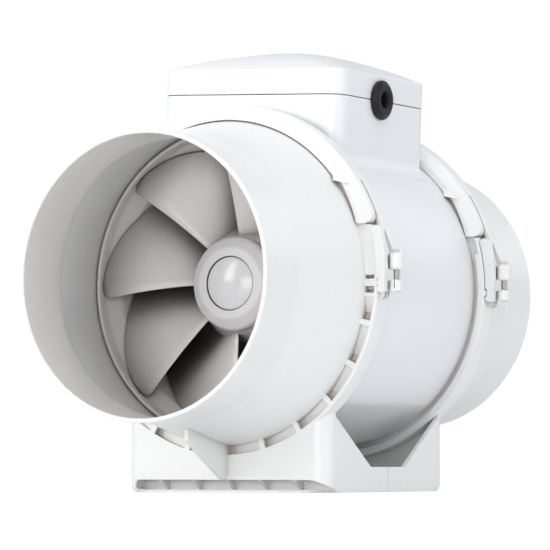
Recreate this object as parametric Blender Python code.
"""Inline mixed-flow duct fan for bathroom extraction, on a bracket foot.

Frame: +Z up, the duct axis runs along Y at height AXIS_Z, the inlet mouth faces -Y,
the origin is on the floor below the middle of the fan. "Front" is the -Y side, and
side +1 / -1 means +X / -X. Sizes are millimetres; `make` turns them into metres.
Most heights, written h, are measured up from the duct axis instead of the floor.
Both spigots and both clamps are drawn at the inlet end, then mirrored or shifted.
"""

import math
from collections import namedtuple

import bmesh
import bpy
from mathutils import Matrix, Vector

# ---------------------------------------------------------------- driving dimensions (mm)
AXIS_Z = 109.2  # duct axis above the floor
GAP = 0.35  # clearance between neighbouring pieces
SEG = 36  # facets round the big shells
SIDES = (1, -1)

# duct shells: y values are distances from mid-length
HALF_LEN = 144.6
SPIGOT_R = 74.0  # outside, 148 mm across for 150 mm duct
SPIGOT_WALL = 2.3
CONE_START_Y = 113.0  # where the spigot begins to widen
CONE_R = 84.9  # outside of the cone where it meets its flange
FLANGE_R = 89.0  # spigot flange
FLANGE_BORE_R = 82.6
FLANGE_FRONT_Y, FLANGE_BACK_Y = 64.5, 60.4
RING_R, RING_LIP_R, RING_BACK_Y = 91.6, 88.6, 53.2  # lower half ring
POCKET_R0, POCKET_R1, POCKET_STEP = 85.4, 89.3, 15.0
POCKET_RIB = 2.2  # degrees of rib between pockets
POCKET_FLOOR_Y = 61.6
CASING_R = 84.9
CASING_FLANGE_R = FLANGE_R - 0.3
BLOCK_TURN_DEG = 2.74  # the middle block sits a little turned, its box towards +X

# foot, above the floor
FOOT_X, FOOT_Y, FOOT_CORNER_R = 61.7, 64.5, 9.0
FOOT_WALL, FOOT_FLOOR = 2.4, 3.0
FOOT_SIDE_TOP = 44.0
SLOT_Z0, SLOT_Z1, SLOT_DEPTH = 1.2, 6.4, 11.4
BEAM_INSET, BEAM_BACK_Y, BEAM_Z0, BEAM_Z1 = 1.2, -51.6, 2.0, 8.2
SLOT_RIB_PITCH, SLOT_RIB_HALF = 20.5, 0.7
FOOT_HOLE_X, FOOT_HOLE_Y, FOOT_HOLE_R = 46.0, -30.0, 2.75

# clamps
CLAMP_R = 93.6
CLAMP_PITCH = 120.0  # both clamps are the same moulding, this far apart
TONGUE_END_H = 28.0  # the clamp's front lip stops level here
BOSS_X, LUG_Y = 99.45, -58.7  # clamp screw axis
SCREW_HOLE_R = 2.05
SINK_H = 10.6  # floor of the boss's countersink
LEVER_R0, LEVER_R1, LEVER_HALF = 93.0, 96.6, 1.9  # latch bars follow the ring
LEVER_Y = -64.7
PIVOT_X, PIVOT_H, EYE_R = 91.44, 25.0, 1.5  # latch pivot

# terminal box
BOX_X, BOX_Y = 55.5, 47.6  # half sizes
BOX_CORNER_R, BOX_WALL = 10.0, 2.4
BOX_SPLIT_H = 100.0  # lid joint
LID_EDGE_H, LID_TOP_H = 114.3, 126.3
LID_SINK_DEPTH = 4.0
POST_X, POST_Y = 45.5, 37.5  # lid screw posts
GROMMET_Y, GROMMET_H, GROMMET_HOLE_R = -5.5, 100.6, 7.95  # on the lid joint
CAPACITOR_X, CAPACITOR_H = -22.0, 95.5
CABLE_SCREW_X, CABLE_SCREW_YS = 46.1, (-13.0, 2.0)
CABLE_HOLE_R = 1.75
CABLE_BAR_TOP_H = 107.6
TERMINAL_X, TERMINAL_PITCH, TERMINAL_COUNT = 15.0, 7.8, 4
TERMINAL_SCREW_Y = -4.0
LEAD_Y = 5.0  # where the motor leads rise through the walls

# air path and motor
BLADES, BLADE_T = 8, 1.6
VANES, VANE_T = 7, 1.6
SHAFT_R = 4.0
BORE_R = SHAFT_R + GAP
MOTOR_SCREW_R = 38.0  # pitch radius of the three motor screws

# ---------------------------------------------------------------- materials
Finish = namedtuple("Finish", "label colour roughness metallic")

WHITE = Finish("white_plastic", (0.86, 0.87, 0.875), roughness=0.35, metallic=0.0)
GREY = Finish("impeller_plastic", (0.62, 0.60, 0.58), roughness=0.42, metallic=0.0)
RUBBER = Finish("black_rubber", (0.015, 0.015, 0.017), roughness=0.75, metallic=0.0)
STEEL = Finish("zinc_steel", (0.62, 0.63, 0.65), roughness=0.32, metallic=1.0)
COPPER = Finish("enamelled_copper", (0.55, 0.24, 0.09), roughness=0.38, metallic=0.9)
IRON = Finish("lamination_steel", (0.33, 0.34, 0.36), roughness=0.5, metallic=0.9)
ALU = Finish("cast_aluminium", (0.63, 0.64, 0.66), roughness=0.45, metallic=1.0)
CREAM = Finish("terminal_plastic", (0.80, 0.78, 0.72), roughness=0.45, metallic=0.0)
BRASS = Finish("brass", (0.72, 0.52, 0.2), roughness=0.3, metallic=1.0)


def material(piece_name, finish):
    mat = bpy.data.materials.new(piece_name + "_" + finish.label)
    mat.use_nodes = True
    inputs = mat.node_tree.nodes["Principled BSDF"].inputs
    inputs["Base Color"].default_value = (*finish.colour, 1.0)
    inputs["Roughness"].default_value = finish.roughness
    inputs["Metallic"].default_value = finish.metallic
    return mat


# ---------------------------------------------------------------- solids
def tidy(bm):
    """Turns all faces outwards."""
    bmesh.ops.recalc_face_normals(bm, faces=bm.faces)
    if bm.calc_volume(signed=True) < 0:
        bmesh.ops.reverse_faces(bm, faces=bm.faces)
    return bm


def revolve(profile, place, seg, arc=None):
    """Closed (r, t) outline turned through a full circle or an arc (start, end) in degrees.
    place(r, t, angle) gives the point in space."""
    bm = bmesh.new()
    start, span, count = 0.0, 360.0, seg
    if arc:
        start, span = arc[0], arc[1] - arc[0]
        count = max(2, int(round(abs(span) / 360.0 * seg)))
    ring_count = count + 1 if arc else count
    rings = []
    for i in range(ring_count):
        angle = math.radians(start + span * i / count)
        rings.append([bm.verts.new(place(r, t, angle)) for r, t in profile])
    for i in range(count):
        a, b = rings[i], rings[(i + 1) % ring_count]
        for j in range(len(profile)):
            k = (j + 1) % len(profile)
            bm.faces.new((a[j], a[k], b[k], b[j]))
    if arc:
        bm.faces.new(rings[0][::-1])
        bm.faces.new(rings[-1])
    # points on the turning axis fall together
    bmesh.ops.remove_doubles(bm, verts=bm.verts, dist=1e-5)
    flat = [f for f in bm.faces if f.calc_area() < 1e-9]
    bmesh.ops.delete(bm, geom=flat, context="FACES_ONLY")
    return tidy(bm)


def lathe(profile, seg=SEG, arc=None, height=0.0):
    """(r, y) outline about the duct axis, or a line `height` above it; angles from +X to +Z."""
    z = AXIS_Z + height
    return revolve(
        profile, lambda r, y, a: (r * math.cos(a), y, z + r * math.sin(a)), seg, arc)


def spin_upright(profile, x, y, seg):
    """(r, h) outline about the vertical through (x, y)."""
    return revolve(
        profile, lambda r, h, a: (x + r * math.cos(a), y + r * math.sin(a), AXIS_Z + h), seg)


def prism(outline, lo, hi, axis):
    """Outline pushed along an axis: Y takes (x, z) points, X takes (y, z), Z takes (x, y)."""
    bm = bmesh.new()

    def at(point, t):
        if axis == "Y":
            return (point[0], t, point[1])
        if axis == "X":
            return (t, point[0], point[1])
        return (point[0], point[1], t)

    a = [bm.verts.new(at(p, lo)) for p in outline]
    b = [bm.verts.new(at(p, hi)) for p in outline]
    bm.faces.new(a)
    bm.faces.new(b[::-1])
    for i in range(len(outline)):
        j = (i + 1) % len(outline)
        bm.faces.new((a[i], b[i], b[j], a[j]))
    return tidy(bm)


def skin(rows):
    """Skin over equal-length closed outlines of 3-D points, capped at both ends."""
    bm = bmesh.new()
    rows = [[bm.verts.new(p) for p in row] for row in rows]
    for a, b in zip(rows, rows[1:]):
        for i in range(len(a)):
            j = (i + 1) % len(a)
            bm.faces.new((a[i], a[j], b[j], b[i]))
    bm.faces.new(rows[0][::-1])
    bm.faces.new(rows[-1])
    return tidy(bm)


def floor_block(x0, x1, y0, y1, z0, z1):
    return prism([(x0, z0), (x1, z0), (x1, z1), (x0, z1)], y0, y1, "Y")


def block(x0, x1, y0, y1, h0, h1):
    return floor_block(x0, x1, y0, y1, AXIS_Z + h0, AXIS_Z + h1)


def side_block(side, x0, x1, *rest):
    """Block given for the +X side, placed on either side."""
    return block(*sorted((side * x0, side * x1)), *rest)


def circle(u, v, radius, seg=16, phase=0.0):
    points = []
    for i in range(seg):
        a = math.radians(phase) + 2 * math.pi * i / seg
        points.append((u + radius * math.cos(a), v + radius * math.sin(a)))
    return points


def rod_up(x, y, radius, h0, h1, seg=16, phase=0.0):
    return prism(circle(x, y, radius, seg, phase), AXIS_Z + h0, AXIS_Z + h1, "Z")


def rod_along(x, h, radius, y0, y1, seg):
    """Rod parallel to the duct axis."""
    return prism(circle(x, AXIS_Z + h, radius, seg), y0, y1, "Y")


def rounded_rect(x0, x1, y0, y1, radius, steps=3):
    points = []
    for cx, cy, start in (
        (x1 - radius, y1 - radius, 0),
        (x0 + radius, y1 - radius, 90),
        (x0 + radius, y0 + radius, 180),
        (x1 - radius, y0 + radius, 270),
    ):
        for i in range(steps + 1):
            a = math.radians(start + 90.0 * i / steps)
            points.append((cx + radius * math.cos(a), cy + radius * math.sin(a)))
    return points


def polar(radius, degrees):
    a = math.radians(degrees)
    return (radius * math.cos(a), AXIS_Z + radius * math.sin(a))


def raised(points):
    """(u, h) points with heights counted from the floor."""
    return [(u, AXIS_Z + h) for u, h in points]


def sided(side, points):
    return [(side * x, z) for x, z in points]


def side_arc(side, start, end):
    return (start, end) if side == 1 else (180 - end, 180 - start)


def helper(bm):
    mesh = bpy.data.meshes.new("helper")
    bm.to_mesh(mesh)
    bm.free()
    obj = bpy.data.objects.new("helper", mesh)
    bpy.context.scene.collection.objects.link(obj)
    return obj


def combine(bm, *steps):
    """Runs ('+', bm) and ('-', bm) steps with exact Booleans."""
    base = helper(bm)
    for sign, other in steps:
        tool = helper(other)
        tool.hide_render = True
        mod = base.modifiers.new("cut", "BOOLEAN")
        mod.operation = "UNION" if sign == "+" else "DIFFERENCE"
        mod.solver = "EXACT"
        mod.object = tool
        bpy.context.view_layer.update()
        graph = bpy.context.evaluated_depsgraph_get()
        mesh = bpy.data.meshes.new_from_object(base.evaluated_get(graph))
        base.modifiers.clear()
        base.data = mesh
        bpy.data.objects.remove(tool, do_unlink=True)
    out = bmesh.new()
    out.from_mesh(base.data)
    bpy.data.objects.remove(base, do_unlink=True)
    bmesh.ops.remove_doubles(out, verts=out.verts, dist=2e-3)
    bmesh.ops.dissolve_limit(
        out, angle_limit=math.radians(0.05), verts=out.verts, edges=out.edges)
    bmesh.ops.triangulate(out, faces=[f for f in out.faces if len(f.verts) > 4])
    return out


def moved(bm, matrix):
    bm.transform(matrix)
    if matrix.determinant() < 0:
        bmesh.ops.reverse_faces(bm, faces=bm.faces)
    return bm


MIRROR_Y = Matrix.Diagonal((1, -1, 1, 1))
TURN = (
    Matrix.Translation((0, 0, AXIS_Z))
    @ Matrix.Rotation(math.radians(BLOCK_TURN_DEG), 4, "Y")
    @ Matrix.Translation((0, 0, -AXIS_Z))
)


# ---------------------------------------------------------------- scene objects
def anchor(name, position):
    """An empty on a joint axis that moving pieces hang from."""
    empty = bpy.data.objects.new(name, None)
    empty.empty_display_size = 0.02
    empty.location = Vector(position) / 1000.0
    bpy.context.scene.collection.objects.link(empty)
    bpy.context.view_layer.update()
    return empty


def make(name, bm, finish, parent=None):
    bm = moved(bm, Matrix.Scale(0.001, 4))
    mesh = bpy.data.meshes.new(name)
    bm.to_mesh(mesh)
    bm.free()
    obj = bpy.data.objects.new(name, mesh)
    bpy.context.scene.collection.objects.link(obj)
    mesh.materials.append(material(name, finish))
    mesh.shade_smooth()
    mesh.set_sharp_from_angle(angle=math.radians(32))
    if parent is not None:
        obj.parent = parent
        obj.matrix_parent_inverse = parent.matrix_world.inverted()


for old in list(bpy.data.objects):
    bpy.data.objects.remove(old, do_unlink=True)
DUCT_AXIS = anchor("duct_axis", (0, 0, AXIS_Z))


def make_in_block(name, bm, finish):
    """A piece of the middle block, which sits turned in its clamps."""
    make(name, moved(bm, TURN), finish, parent=DUCT_AXIS)


# ---------------------------------------------------------------- spigots with half the foot
# (r, y) section of the lower half ring
RING = [
    (RING_LIP_R, -FLANGE_FRONT_Y), (RING_R, -FLANGE_FRONT_Y), (RING_R, -RING_BACK_Y),
    (87.4, -RING_BACK_Y), (87.4, -54.9), (89.5, -54.9), (89.5, -FLANGE_BACK_Y),
    (RING_LIP_R, -FLANGE_BACK_Y),
]
# (r, y) section of the ring's raised front edge
RING_TIP = [
    (RING_LIP_R, -FLANGE_FRONT_Y), (RING_R, -FLANGE_FRONT_Y),
    (RING_R, -60.2), (RING_LIP_R, -60.2),
]
# (x, z) front view of the slot in the foot's front wall
SLOT = [
    (-57.5, SLOT_Z0), (57.5, SLOT_Z0), (60.3, SLOT_Z0 + 0.6), (60.0, SLOT_Z0 + 2.6),
    (57.4, SLOT_Z1 - 0.9), (54.0, SLOT_Z1), (-54.0, SLOT_Z1), (-57.4, SLOT_Z1 - 0.9),
    (-60.0, SLOT_Z0 + 2.6), (-60.3, SLOT_Z0 + 0.6),
]
# (y, z) side view of what is cut away above the foot's side walls
SIDE_CUT = [(-58.5, 50.0), (-55.0, 38.9), (-18.5, 13.1), (5.0, 13.1), (5.0, 50.0)]
# (y, z) side view of a triangular rib in the slot
SLOT_RIB = [
    (-FOOT_Y + 0.6, SLOT_Z1 + 0.4), (-FOOT_Y + 8.2, SLOT_Z0 - 0.3),
    (-FOOT_Y + SLOT_DEPTH + 0.5, SLOT_Z0 - 0.3), (-FOOT_Y + SLOT_DEPTH + 0.5, SLOT_Z1 + 0.4),
]
# (y, h) side view of the middle fin below the cone
FIN = [
    (-101.7, -75.2), (-101.7, -82.8), (-68.0, -102.6),
    (-62.8, -102.6), (-62.8, -84.0), (-66.0, -83.2),
]
FIN_HALF = 1.3


def spigot_wall():
    """Tube, cone and flange as one turned wall."""
    inside_r = SPIGOT_R - SPIGOT_WALL
    return lathe([
        (inside_r + 1.0, -HALF_LEN),
        (SPIGOT_R - 0.7, -HALF_LEN),
        (SPIGOT_R, -HALF_LEN + 0.8),
        (SPIGOT_R, -CONE_START_Y),
        (CONE_R, -FLANGE_FRONT_Y),
        (FLANGE_R, -FLANGE_FRONT_Y),
        (FLANGE_R, -FLANGE_BACK_Y),
        (FLANGE_BORE_R, -FLANGE_BACK_Y),
        (FLANGE_BORE_R, -FLANGE_FRONT_Y),
        (inside_r, -CONE_START_Y + 0.5),
        (inside_r, -HALF_LEN + 1.2),
    ])


def lower_ring():
    """Half ring that holds the casing flange from below."""
    ring = lathe(RING, arc=(-192, 12))
    # its front edge runs on up to just under the clamp's lip
    for side in SIDES:
        tip = lathe(RING_TIP, seg=90, arc=side_arc(side, 8, 20))
        above = side_block(side, 70, 100, -70, -50, TONGUE_END_H - 0.6, 50)
        ring = combine(ring, ("+", combine(tip, ("-", above))))
    return ring


def foot_plan(inset, back_y):
    return rounded_rect(
        -FOOT_X + inset, FOOT_X - inset, -FOOT_Y + inset, back_y, FOOT_CORNER_R - inset)


def foot_half():
    """Half of the foot with the lower ring on it."""
    beam = combine(
        prism(foot_plan(BEAM_INSET, -FOOT_Y + 31.2), BEAM_Z0, BEAM_Z1, "Z"),
        ("-", floor_block(-80, 80, BEAM_BACK_Y, 0, 0, 10)),
    )
    floor_window = prism(rounded_rect(-30, 30, -34, -9, 4, steps=2), -1, 4.5, "Z")
    holes = []
    for side in SIDES:
        outline = circle(side * FOOT_HOLE_X, FOOT_HOLE_Y, FOOT_HOLE_R, seg=12)
        holes.append(("-", prism(outline, -2, 6, "Z")))
    foot = combine(
        prism(foot_plan(0.0, 60.0), 0.0, FOOT_SIDE_TOP, "Z"),
        ("-", prism(foot_plan(FOOT_WALL, 61.0), FOOT_FLOOR, FOOT_SIDE_TOP + 1, "Z")),
        ("+", beam),
        ("-", floor_block(-80, 80, -GAP / 2, 90, -5, 120)),
        ("-", prism(SLOT, -FOOT_Y - 3, -FOOT_Y + SLOT_DEPTH, "Y")),
        ("-", prism(SIDE_CUT, -80, 80, "X")),
        ("-", floor_window),
        ("-", rod_along(0, 0, 89.2, -70, 10, seg=SEG)),
        *holes,
        ("+", lower_ring()),
    )
    ribs = []
    for k in range(-2, 3):
        x = SLOT_RIB_PITCH * k
        ribs.append(("+", prism(SLOT_RIB, x - SLOT_RIB_HALF, x + SLOT_RIB_HALF, "X")))
    return combine(foot, *ribs)


def ring_pocket(index):
    """Cutter for one pocket in the flange's front face."""
    start = -180.0 + POCKET_STEP * index + POCKET_RIB / 2
    section = [
        (POCKET_R0, -FLANGE_FRONT_Y - 2), (POCKET_R1, -FLANGE_FRONT_Y - 2),
        (POCKET_R1, -POCKET_FLOOR_Y), (POCKET_R0, -POCKET_FLOOR_Y),
    ]
    return lathe(section, seg=56, arc=(start, start + POCKET_STEP - POCKET_RIB))


def spigot(lug_y, lever_y):
    """Spigot drawn at the inlet end; its screw lugs sit at lug_y, its latch catches at lever_y."""
    shell = combine(spigot_wall(), ("+", foot_half()))
    for k in range(int(180 / POCKET_STEP)):
        shell = combine(shell, ("-", ring_pocket(k)))
    shell = combine(shell, ("+", prism(raised(FIN), -FIN_HALF, FIN_HALF, "X")))
    for side in SIDES:
        web = side_block(side, 90.2, BOSS_X - 1.0, lug_y - 1.6, lug_y + 1.6, -6.6, -1.3)
        lug = rod_up(side * (BOSS_X - 0.5), lug_y, 3.3, -7.0, -0.8, seg=14)
        hole = rod_up(side * BOSS_X, lug_y, SCREW_HOLE_R, -9.5, 2, seg=12, phase=15)
        # the latch nose hooks under this catch
        catch_y = max(lever_y - LEVER_HALF, -FLANGE_FRONT_Y + 0.1)
        catch = side_block(side, 90.4, 92.6, catch_y, lever_y + LEVER_HALF, -4.2, -1.4)
        shell = combine(shell, ("+", web), ("+", lug), ("-", hole), ("+", catch))
    return shell


make("inlet_spigot", spigot(LUG_Y, LEVER_Y), WHITE)
OUTLET_SPIGOT = spigot(-(LUG_Y + CLAMP_PITCH), -(LEVER_Y + CLAMP_PITCH))
make("outlet_spigot", moved(OUTLET_SPIGOT, MIRROR_Y), WHITE)

# rubber rings (r, y) between the spigot flanges and the casing flanges
GASKET = [(83.6, -60.05), (88.4, -60.05), (88.4, -58.45), (83.6, -58.45)]
make("gasket_inlet", lathe(GASKET), RUBBER)
make("gasket_outlet", moved(lathe(GASKET), MIRROR_Y), RUBBER)


# ---------------------------------------------------------------- clamps, latches, clamp screws
# (r, y) U section of the clamp band
CLAMP = [
    (85.4, -67.0), (89.8, -67.0), (CLAMP_R, -63.2), (CLAMP_R, -53.0), (87.0, -53.0),
    (87.0, -54.6), (92.0, -54.6), (92.0, -62.6), (89.4, -65.2), (85.4, -65.2),
]
TONGUE_FRONT_Y = -57.65  # front edge of the narrow tongue at each band end
# (r, y) section of the slit beside the tongue
TONGUE_SLIT = [(90.0, -59.3), (95.0, -59.3), (95.0, TONGUE_FRONT_Y), (90.0, TONGUE_FRONT_Y)]
# (r, y) section of the beak at the end of the wide front lip
BEAK = [(85.3, -69.6), (86.6, -69.4), (90.0, -66.6), (88.0, -66.0), (85.5, -66.4)]
# (r, degrees) along the outer and inner face of the arm, then its (x, h) end
ARM_OUTER = [(CLAMP_R, 24), (93.45, 19.4), (94.3, 15.8), (95.7, 8.6)]
ARM_END = [(98.5, 8.0), (98.5, 5.6), (95.6, 5.6)]
ARM_INNER = [(94.1, 8.6), (92.75, 15.8), (92.05, 19.4), (92.05, 24)]
# (x, h) hooked nose of the latch bar
LEVER_NOSE = [
    (92.9, -4.6), (91.95, -4.6), (91.95, -6.2), (93.2, -7.4),
    (LEVER_R1 - 1.6, -7.5), (LEVER_R1 - 0.3, -6.0),
]
HEAD_SEAT_H = SINK_H + GAP
# (r, h) half section of the clamp screw
CLAMP_SCREW = [
    (0, -6.6), (1.1, -6.6), (1.7, -5.9), (1.7, HEAD_SEAT_H),
    (2.45, HEAD_SEAT_H), (2.45, 12.7), (1.7, 13.2), (0, 13.2),
]


def clamp_arm(side):
    """Strip that leaves the band and bends out to the screw boss."""
    outline = [polar(*p) for p in ARM_OUTER] + raised(ARM_END) + [polar(*p) for p in ARM_INNER]
    return prism(sided(side, outline), -57.6, -53.4, "Y")


def pivot_rod(side, radius, y0, y1, seg=12):
    """Rod on the latch pivot, y counted from the latch bar's middle."""
    return rod_along(side * PIVOT_X, PIVOT_H, radius, LEVER_Y + y0, LEVER_Y + y1, seg)


def clamp():
    """Upper half ring; its ends carry a screw boss and a latch ear."""
    shell = lathe(CLAMP, seg=44, arc=(16, 164))
    for side in SIDES:
        lip_end = side_block(side, 75, 110, -70, TONGUE_FRONT_Y, -5, TONGUE_END_H)
        shell = combine(shell, ("-", lip_end))
    for side in SIDES:
        shell = combine(shell, ("-", lathe(TONGUE_SLIT, arc=side_arc(side, 14, 33))))
    for side in SIDES:
        x = side * BOSS_X
        web = side_block(side, 93.2, BOSS_X - 1.6, LUG_Y + 0.7, LUG_Y + 4.6, 4.6, 12.4)
        boss_pocket = side_block(side, 94.2, 95.7, LUG_Y - 3, LUG_Y + 3.8, 5.6, 11.2)
        # notch from the countersink out to the front
        notch = side_block(side, BOSS_X - 0.3, BOSS_X + 1.9, LUG_Y - 5, LUG_Y + 0.5, 11.6, 16)
        shell = combine(
            shell,
            ("+", lathe(BEAK, seg=120, arc=side_arc(side, 36.4, 39.6))),
            ("+", clamp_arm(side)),
            ("+", web),
            ("+", rod_up(x, LUG_Y, 3.6, 4.1, 13.5)),  # boss
            ("+", side_block(side, 89.6, 91.6, -60.6, -57.0, 23.4, 27.0)),  # ear web
            ("+", pivot_rod(side, 2.2, 2.4, 5.3)),  # ear
            ("-", boss_pocket),
            ("-", rod_up(x, LUG_Y, SCREW_HOLE_R, 3, 18, seg=12, phase=15)),
            ("-", rod_up(x, LUG_Y, 2.8, SINK_H, 18)),
            ("-", notch),
            ("-", pivot_rod(side, EYE_R, 0, 4.5)),
        )
    return shell


def latch_lever(side):
    """Latch bar bent to the ring; its nose hooks under the catch on the lower ring."""
    end_r = (LEVER_R1 - LEVER_R0) / 2
    pivot_angle = math.atan2(PIVOT_H, PIVOT_X)
    outline = []
    for i in range(7):
        a = math.pi * i / 6 + pivot_angle
        x = PIVOT_X + end_r * math.cos(a)
        outline.append((x, AXIS_Z + PIVOT_H + end_r * math.sin(a)))
    outline += [polar(LEVER_R0, deg) for deg in (11.0, 7.0, 3.0, -0.4)]
    outline += raised(LEVER_NOSE)
    outline += [polar(LEVER_R1, deg) for deg in (-1.0, 3.0, 7.0, 11.0)]
    bar = prism(sided(side, outline), LEVER_Y - LEVER_HALF, LEVER_Y + LEVER_HALF, "Y")
    return combine(bar, ("-", pivot_rod(side, EYE_R, -0.6, 4)))


def latch_pin(side):
    return pivot_rod(side, 1.15, -0.25, 4.2, seg=10)


def clamp_screw(side):
    x = side * BOSS_X
    slot = block(x - 4, x + 4, LUG_Y - 0.4, LUG_Y + 0.4, 12.3, 17)
    return combine(spin_upright(CLAMP_SCREW, x, LUG_Y, seg=10), ("-", slot))


for end_name, shift_y in (("inlet", 0.0), ("outlet", CLAMP_PITCH)):
    shift = Matrix.Translation((0, shift_y, 0))
    make("clamp_" + end_name, moved(clamp(), shift), WHITE)
    for side_name, side in (("right", 1), ("left", -1)):
        tag = end_name + "_" + side_name
        pivot = anchor(
            "latch_axis_" + tag, (side * PIVOT_X, LEVER_Y + shift_y, AXIS_Z + PIVOT_H))
        make("latch_lever_" + tag, moved(latch_lever(side), shift), WHITE, parent=pivot)
        make("latch_pin_" + tag, moved(latch_pin(side), shift), STEEL)
        make("clamp_screw_" + tag, moved(clamp_screw(side), shift), STEEL)


# ---------------------------------------------------------------- casing, terminal box, lid
# (r, y) inlet half of the casing wall; the outlet half mirrors it
CASING_HALF = [
    (FLANGE_BORE_R, -57.9), (CASING_FLANGE_R, -57.9), (CASING_FLANGE_R, -55.5),
    (CASING_R, -55.5), (CASING_R, -40.0), (CASING_R + 1.0, -20.0),
]
# x0, x1, y0, y1, h0, h1
BOX_PADS = [
    (9, 49, -16, 8, 55, 88.0),  # under the terminal block
    (43.6, 48.6, -15.5, 4.5, 55, 97.4),  # under the cable clamp bar
    (-32.5, -11.5, -20, -13, 60, 95.0),  # two under the capacitor
    (-32.5, -11.5, 8, 15, 60, 95.0),
]


def box_plan(grow):
    x, y = BOX_X + grow, BOX_Y + grow
    return rounded_rect(-x, x, -y, y, BOX_CORNER_R + grow)


def posts(radius, h0, h1, seg):
    return [
        rod_up(sx * POST_X, sy * POST_Y, radius, h0, h1, seg) for sx in SIDES for sy in SIDES
    ]


def grommet_hole(x0, x1):
    outline = circle(GROMMET_Y, AXIS_Z + GROMMET_H, GROMMET_HOLE_R, seg=18)
    return prism(outline, x0, x1, "X")


def cable_holes(h0, h1):
    return [
        ("-", rod_up(CABLE_SCREW_X, y, CABLE_HOLE_R, h0, h1, seg=8)) for y in CABLE_SCREW_YS
    ]


def terminal_box():
    box = combine(
        prism(box_plan(0.0), AXIS_Z + 50.0, AXIS_Z + BOX_SPLIT_H, "Z"),
        ("-", prism(box_plan(-BOX_WALL), AXIS_Z + 40.0, AXIS_Z + BOX_SPLIT_H + 5, "Z")),
    )
    box = combine(
        box,
        *[("+", block(*pad)) for pad in BOX_PADS],
        *[("+", post) for post in posts(4.4, 50, BOX_SPLIT_H - 1.2, seg=12)],
    )
    return combine(
        box,
        *[("-", hole) for hole in posts(1.75, 82, BOX_SPLIT_H + 2, seg=8)],
        ("-", grommet_hole(40, 60)),
        ("-", rod_along(0, 0, 83.6, -70, 70, seg=SEG)),
        ("-", rod_along(CAPACITOR_X, CAPACITOR_H, 9.4, -22, 17, seg=14)),
        *cable_holes(84, 99),
    )


def motor_casing():
    outlet_half = [(r, -y) for r, y in reversed(CASING_HALF)]
    lead_hole = rod_up(0, LEAD_Y, 3.4, 74, 95, seg=10)
    return combine(lathe(CASING_HALF + outlet_half), ("+", terminal_box()), ("-", lead_hole))


def pillow(grow, base_h, side_top_h, edge_h, top_h):
    """Straight sides up to side_top_h, then a shallow dome that grows rounder in plan."""
    half_x, half_y = BOX_X + grow, BOX_Y + grow
    levels = [(box_plan(grow), base_h), (box_plan(grow), side_top_h)]
    for scale in (0.93, 0.74, 0.5, 0.24):
        x, y = half_x * scale, half_y * scale
        radius = (BOX_CORNER_R + grow) * scale + (1 - scale) * 0.62 * half_y
        plan = rounded_rect(-x, x, -y, y, min(radius, y - 0.2))
        levels.append((plan, edge_h + (top_h - edge_h) * (1 - scale**2.4)))
    return skin([[(x, y, AXIS_Z + h) for x, y in plan] for plan, h in levels])


def lid():
    split = BOX_SPLIT_H
    outer = pillow(0.0, split + GAP + 0.05, LID_EDGE_H - 1.0, LID_EDGE_H, LID_TOP_H)
    inner = pillow(
        -BOX_WALL, split - 4, LID_EDGE_H - 3.0, LID_EDGE_H - BOX_WALL, LID_TOP_H - BOX_WALL)
    shell = combine(outer, ("-", inner))
    lid_posts = posts(4.6, split + GAP + 0.1, LID_EDGE_H, seg=12)
    shell = combine(shell, *[("+", post) for post in lid_posts])
    steps = [("-", grommet_hole(50, 60))]
    for side in SIDES:
        # a sunk screw hole at the outlet side, a plain peg at the inlet side
        x = side * POST_X
        sink_h = LID_EDGE_H - LID_SINK_DEPTH
        steps += [
            ("-", rod_up(x, POST_Y, 1.95, split - 2, LID_TOP_H, seg=8)),
            ("-", rod_up(x, POST_Y, 3.5, sink_h, LID_TOP_H, seg=12)),
            ("+", rod_up(x, -POST_Y, 1.35, split - 10.0, split + 3.0, seg=8)),
        ]
    return combine(shell, *steps)


def lid_screw(side):
    seat = LID_EDGE_H - LID_SINK_DEPTH + GAP
    profile = [
        (0, 88.0), (0.7, 88.0), (1.4, 89.5), (1.4, seat),
        (3.0, seat), (3.0, seat + 1.6), (2.0, seat + 2.4), (0, seat + 2.4),
    ]
    return spin_upright(profile, side * POST_X, POST_Y, seg=8)


make_in_block("motor_casing", motor_casing(), WHITE)
make_in_block("terminal_box_lid", lid(), WHITE)
for number, side in enumerate(SIDES, 1):
    make_in_block("lid_screw_%d" % number, lid_screw(side), STEEL)

# ---------------------------------------------------------------- fittings in the terminal box
# (r, x) section of the cable grommet, in the box's +X wall
GROMMET = [
    (4.0, 50.2), (9.6, 50.2), (9.6, 52.6), (7.5, 52.6), (7.5, 55.9),
    (10.5, 55.9), (10.5, 57.4), (8.6, 59.2), (5.4, 59.2), (4.0, 57.8),
]
# (r, y) sections about the capacitor's own axis
CAPACITOR = [(0, -24.0), (8.0, -24.0), (9.0, -23.0), (9.0, 16.4), (8.2, 17.4), (0, 17.4)]
STRAP = [(9.35, -6.0), (10.4, -6.0), (10.4, 1.0), (9.35, 1.0)]
CABLE_SEAT_H = CABLE_BAR_TOP_H + GAP
# (r, h) half section of a cable clamp screw
CABLE_SCREW = [
    (0, 87), (1.4, 87), (1.4, CABLE_SEAT_H), (2.4, CABLE_SEAT_H), (2.4, 109.6), (0, 109.6),
]
# (x, y, h) middle line of the motor leads, from the motor to the first terminal
LEAD_PATH = [
    (0, LEAD_Y, 35), (0, LEAD_Y, 86), (1.0, 7.5, 91), (5.5, 10.5, 93.6),
    (11.0, 11.2, 93.6), (14.6, 9.0, 93.5), (15.0, 4.9, 93.4),
]
LEAD_R = 1.5


def cable_grommet():
    z = AXIS_Z + GROMMET_H
    return revolve(
        GROMMET, lambda r, x, a: (x, GROMMET_Y + r * math.cos(a), z + r * math.sin(a)), seg=16)


def terminal_x(index):
    return TERMINAL_X + TERMINAL_PITCH * index


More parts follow.
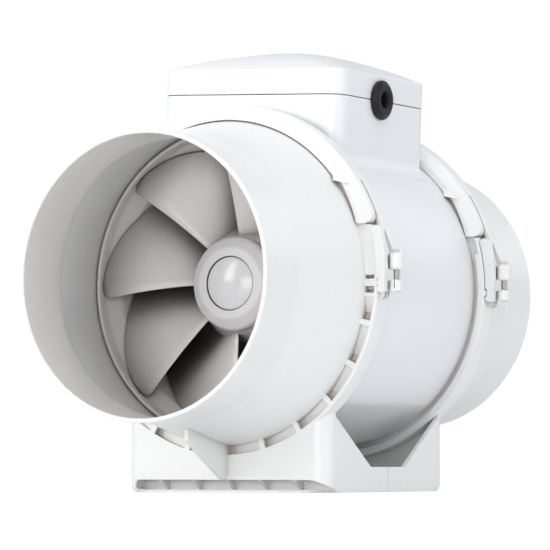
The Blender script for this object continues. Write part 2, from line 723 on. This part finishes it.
def terminal_block():
    holes = []
    for k in range(TERMINAL_COUNT):
        x = terminal_x(k)
        holes.append(("-", rod_along(x, 93.4, 1.9, -14, 6, seg=6)))
        holes.append(("-", rod_up(x, TERMINAL_SCREW_Y, 1.75, 92.0, 103, seg=6)))
    return combine(block(11, 42.4, -12, 4, 88.4, 101.0), *holes)


def cable_clamp_bar():
    bar = block(43.8, 48.4, -15.3, 4.3, 104.6, CABLE_BAR_TOP_H)
    return combine(bar, *cable_holes(100, 112))


def at_capacitor(profile, seg, arc=None):
    shift = Matrix.Translation((CAPACITOR_X, 0, 0))
    return moved(lathe(profile, seg, arc, height=CAPACITOR_H), shift)


def motor_leads(seg=8):
    """Round lead along LEAD_PATH."""
    points = [Vector((x, y, AXIS_Z + h)) for x, y, h in LEAD_PATH]
    reference = Vector((0, 1, 0))
    rows = []
    for i, point in enumerate(points):
        ahead, behind = points[min(i + 1, len(points) - 1)], points[max(i - 1, 0)]
        tangent = (ahead - behind).normalized()
        across = reference - tangent * reference.dot(tangent)
        # where the lead runs almost along Y, X is the steadier reference
        if across.length < 0.2:
            across = Vector((1, 0, 0)) - tangent * tangent.x
        across.normalize()
        other = tangent.cross(across)
        row = []
        for q in range(seg):
            a = 2 * math.pi * q / seg
            row.append(point + (across * math.cos(a) + other * math.sin(a)) * LEAD_R)
        rows.append(row)
    return skin(rows)


make_in_block("cable_grommet", cable_grommet(), RUBBER)
make_in_block("terminal_block", terminal_block(), CREAM)
for k in range(TERMINAL_COUNT):
    screw = rod_up(terminal_x(k), TERMINAL_SCREW_Y, 1.3, 95.8, 100.2, seg=8)
    make_in_block("terminal_screw_%d" % (k + 1), screw, BRASS)
make_in_block("capacitor", at_capacitor(CAPACITOR, seg=14), CREAM)
make_in_block("capacitor_strap", at_capacitor(STRAP, seg=20, arc=(-20, 200)), WHITE)
make_in_block("cable_clamp_bar", cable_clamp_bar(), WHITE)
for number, y in enumerate(CABLE_SCREW_YS, 1):
    screw = spin_upright(CABLE_SCREW, CABLE_SCREW_X, y, seg=8)
    make_in_block("cable_clamp_screw_%d" % number, screw, STEEL)
make_in_block("motor_leads", motor_leads(), RUBBER)

# ---------------------------------------------------------------- air path inside the block
# (r, y) inner face of the inlet collector, which the blade tips follow
SHROUD = [
    (81.3, -62.3), (80.6, -58.0), (78.2, -53.0), (74.9, -48.2), (72.4, -40.0), (72.0, -10.4),
]
# (r, y) outer face of the collector, back to front
COLLECTOR_BACK = [
    (82.0, -10.4), (82.0, -12.4), (74.0, -12.4), (74.2, -39.0), (82.0, -54.0), (82.0, -62.3),
]
# (r, y) sections of the diffuser's outer wall and hub cup
DIFFUSER_WALL = [(73.2, -9.9), (82.0, -9.9), (82.0, 54.0), (80.2, 54.0), (80.2, 8.0)]
DIFFUSER_HUB = [
    (12.5, -8.6), (44.6, -8.6), (46.4, -6.0), (46.4, 46.0), (44.6, 46.0), (44.6, -6.4),
    (12.5, -6.4),
]
VANE_R0, VANE_R1 = 45.3, 81.2
VANE_Y0, VANE_LENGTH = -1.0, 44.0
VANE_LEAN_DEG = 26.0  # at the front edge, fading to none at the rear


def vane(index):
    """Thin curved plate between the hub cup and the outer wall."""
    base = 90.0 + 360.0 / VANES * (index + 0.5)
    rows = []
    for i in range(5):
        s = i / 4
        y = VANE_Y0 + VANE_LENGTH * s
        middle = math.radians(base + VANE_LEAN_DEG * (1 - s) ** 2)
        row = []
        for r, face in ((VANE_R0, -1), (VANE_R0, 1), (VANE_R1, 1), (VANE_R1, -1)):
            a = middle + face * (VANE_T / 2) / r
            row.append((r * math.cos(a), y, AXIS_Z + r * math.sin(a)))
        rows.append(row)
    return skin(rows)


def diffuser():
    body = combine(lathe(DIFFUSER_WALL), ("+", vane(0)), ("+", lathe(DIFFUSER_HUB, seg=24)))
    body = combine(body, *[("+", vane(k)) for k in range(1, VANES)])
    return combine(body, ("-", rod_up(0, LEAD_Y, 2.9, 30, 90, seg=10)))


make_in_block("inlet_collector", lathe(SHROUD + COLLECTOR_BACK), WHITE)
make_in_block("guide_vane_diffuser", diffuser(), WHITE)

# ---------------------------------------------------------------- impeller
# (r, y) outer cone of the hub, which the blade roots follow
HUB_CONE = [(25.2, -52.5), (27.6, -47.0), (33.2, -36.0), (44.8, -12.2)]
# (r, y) hub section before and after the cone
HUB_NOSE = [
    (BORE_R, -52.0), (12.6, -52.0), (12.6, -57.6), (14.4, -57.6), (14.4, -59.3),
    (19.0, -58.7), (22.8, -56.6),
]
HUB_INSIDE = [
    (42.4, -12.2), (25.0, -47.0), (22.6, -49.5), (8.6, -49.5), (8.6, -22.0), (BORE_R, -22.0),
]
ROOT_Y0, ROOT_RUN, ROOT_SINK = -50.0, 35.5, 1.0  # roots reach into the hub cone
TIP_Y0, TIP_RUN, TIP_GAP = -60.0, 45.0, 1.3
BLADE_START_DEG, TIP_LEAD_DEG = 135.0, 5.0
ROOT_WRAP_DEG, EXTRA_TIP_WRAP_DEG = 66.0, 14.0  # sweep from leading to trailing edge


def radius_at(profile, y):
    """Radius of an (r, y) line at a y within it."""
    for (r0, y0), (r1, y1) in zip(profile, profile[1:]):
        if y <= y1:
            return r0 + (r1 - r0) * (y - y0) / (y1 - y0)


def blade_point(index, s, u):
    """Mid-surface point; s runs from leading to trailing edge, u from root to tip."""
    y_root = ROOT_Y0 + ROOT_RUN * (0.4 * s + 0.6 * s * s)
    y_tip = TIP_Y0 + TIP_RUN * (0.3 * s + 0.7 * s * s)
    y = y_root + (y_tip - y_root) * u
    r_root = radius_at(HUB_CONE, y_root) - ROOT_SINK
    r_tip = radius_at(SHROUD, y_tip) - TIP_GAP
    r = r_root * (1 - u) + r_tip * u
    wrap = (ROOT_WRAP_DEG + EXTRA_TIP_WRAP_DEG * u) * s
    a = math.radians(BLADE_START_DEG + TIP_LEAD_DEG * u - wrap + 360.0 / BLADES * index)
    return Vector((r * math.cos(a), y, AXIS_Z + r * math.sin(a)))


def blade(index, chord_count=5, span_count=3):
    """Mixed-flow blade: the mid-surface thickened to both sides."""
    last_i, last_j = chord_count - 1, span_count - 1
    grid = [
        [blade_point(index, i / last_i, j / last_j) for j in range(span_count)]
        for i in range(chord_count)
    ]
    bm = bmesh.new()
    front, back = [], []
    for i in range(chord_count):
        front_row, back_row = [], []
        for j in range(span_count):
            chord = grid[min(i + 1, last_i)][j] - grid[max(i - 1, 0)][j]
            span = grid[i][min(j + 1, last_j)] - grid[i][max(j - 1, 0)]
            normal = chord.cross(span).normalized()
            front_row.append(bm.verts.new(grid[i][j] + normal * (BLADE_T / 2)))
            back_row.append(bm.verts.new(grid[i][j] - normal * (BLADE_T / 2)))
        front.append(front_row)
        back.append(back_row)
    f, b = front, back
    for i in range(last_i):
        for j in range(last_j):
            bm.faces.new((f[i][j], f[i + 1][j], f[i + 1][j + 1], f[i][j + 1]))
            bm.faces.new((b[i][j], b[i][j + 1], b[i + 1][j + 1], b[i + 1][j]))
    # root and tip edges
    for i in range(last_i):
        bm.faces.new((f[i][0], b[i][0], b[i + 1][0], f[i + 1][0]))
        bm.faces.new((f[i][-1], f[i + 1][-1], b[i + 1][-1], b[i][-1]))
    # leading and trailing edges
    for j in range(last_j):
        bm.faces.new((f[0][j], f[0][j + 1], b[0][j + 1], b[0][j]))
        bm.faces.new((f[-1][j], b[-1][j], b[-1][j + 1], f[-1][j + 1]))
    return tidy(bm)


def impeller():
    hub = lathe(HUB_NOSE + HUB_CONE + HUB_INSIDE, seg=24)
    return combine(hub, *[("+", blade(k)) for k in range(BLADES)])


def impeller_nut():
    bore = rod_along(0, 0, BORE_R, -60, -50, seg=16)
    return combine(rod_along(0, 0, 6.4, -56.2, -52.4, seg=6), ("-", bore))


make("impeller", impeller(), GREY, parent=DUCT_AXIS)
make("impeller_nut", impeller_nut(), STEEL, parent=DUCT_AXIS)

# ---------------------------------------------------------------- motor
# name, finish, facets, (r, y) section of the plain pieces that spin with the shaft
SPINNING = [
    ("hub_cap", GREY, 32,
     [(0, -60.2), (12.9, -60.2), (13.95, -59.5), (13.95, -58.0), (0, -58.0)]),
    ("motor_shaft", STEEL, 16,
     [(0, -56.4), (3.4, -56.4), (SHAFT_R, -55.6), (SHAFT_R, 47.4), (3.4, 48.0), (0, 48.0)]),
    ("rotor_core", IRON, 20,
     [(BORE_R, 9.0), (14.0, 9.0), (14.0, 11.0), (18.4, 11.0),
      (18.4, 33.0), (14.0, 33.0), (14.0, 35.0), (BORE_R, 35.0)]),
]
# the same for the plain pieces fixed in the block
FIXED = [
    ("stator_core", IRON, 24, [(19.2, 10.0), (35.4, 10.0), (35.4, 34.0), (19.2, 34.0)]),
    ("stator_winding_front", COPPER, 20,
     [(21.0, 5.2), (23.0, 3.4), (30.0, 3.4), (32.4, 5.2), (32.4, 9.6), (21.0, 9.6)]),
    ("stator_winding_rear", COPPER, 20,
     [(21.0, 34.4), (32.4, 34.4), (32.4, 38.4), (30.0, 40.0), (23.0, 40.0), (21.0, 38.4)]),
    ("motor_cover", WHITE, 20,
     [(43.0, 46.4), (46.3, 46.4), (46.0, 50.0), (41.0, 56.0), (30.0, 59.6),
      (0, 61.0), (0, 58.6), (29.0, 57.4), (43.0, 49.4)]),
]
BEARINGS = (("bearing_front", -1.2), ("bearing_rear", 39.8))  # name, front face y
BEARING_WIDTH = 5.0
# (r, y) section of the front end shield; the rear one is its reflection
END_SHIELD = [
    (11.3, -4.3), (41.5, -4.3), (41.5, 2.4), (39.6, 2.4),
    (39.6, -1.6), (13.6, -1.6), (13.6, 4.4), (11.3, 4.4),
]
END_SHIELD_SUM_Y = 43.4  # y of a point plus y of its reflection


def race(inner_r, outer_r, y, seg):
    back = y + BEARING_WIDTH
    return lathe([(inner_r, y), (outer_r, y), (outer_r, back), (inner_r, back)], seg)


def motor_screw_places():
    """(x, h) of the three screws."""
    angles = [math.radians(30 + 120 * k) for k in range(3)]
    return [(MOTOR_SCREW_R * math.cos(a), MOTOR_SCREW_R * math.sin(a)) for a in angles]


def end_shield(profile):
    holes = [("-", rod_along(x, h, 1.95, -8, 52, seg=8)) for x, h in motor_screw_places()]
    return combine(lathe(profile, seg=18), *holes)


def motor_screw(x, h):
    head = rod_along(x, h, 2.9, 48.2, 50.2, seg=8)
    return combine(rod_along(x, h, 1.6, -3.6, 48.6, seg=8), ("+", head))


for name, finish, seg, profile in SPINNING:
    make(name, lathe(profile, seg), finish, parent=DUCT_AXIS)
for name, finish, seg, profile in FIXED:
    make_in_block(name, lathe(profile, seg), finish)
for name, y in BEARINGS:
    make(name + "_inner_race", race(BORE_R, 6.6, y, seg=16), STEEL, parent=DUCT_AXIS)
    make_in_block(name + "_outer_race", race(8.6, 10.9, y, seg=20), STEEL)
REAR_SHIELD = [(r, END_SHIELD_SUM_Y - y) for r, y in reversed(END_SHIELD)]
make_in_block("motor_end_shield_front", end_shield(END_SHIELD), ALU)
make_in_block("motor_end_shield_rear", end_shield(REAR_SHIELD), ALU)
for number, (x, h) in enumerate(motor_screw_places(), 1):
    make_in_block("motor_screw_%d" % number, motor_screw(x, h), STEEL)
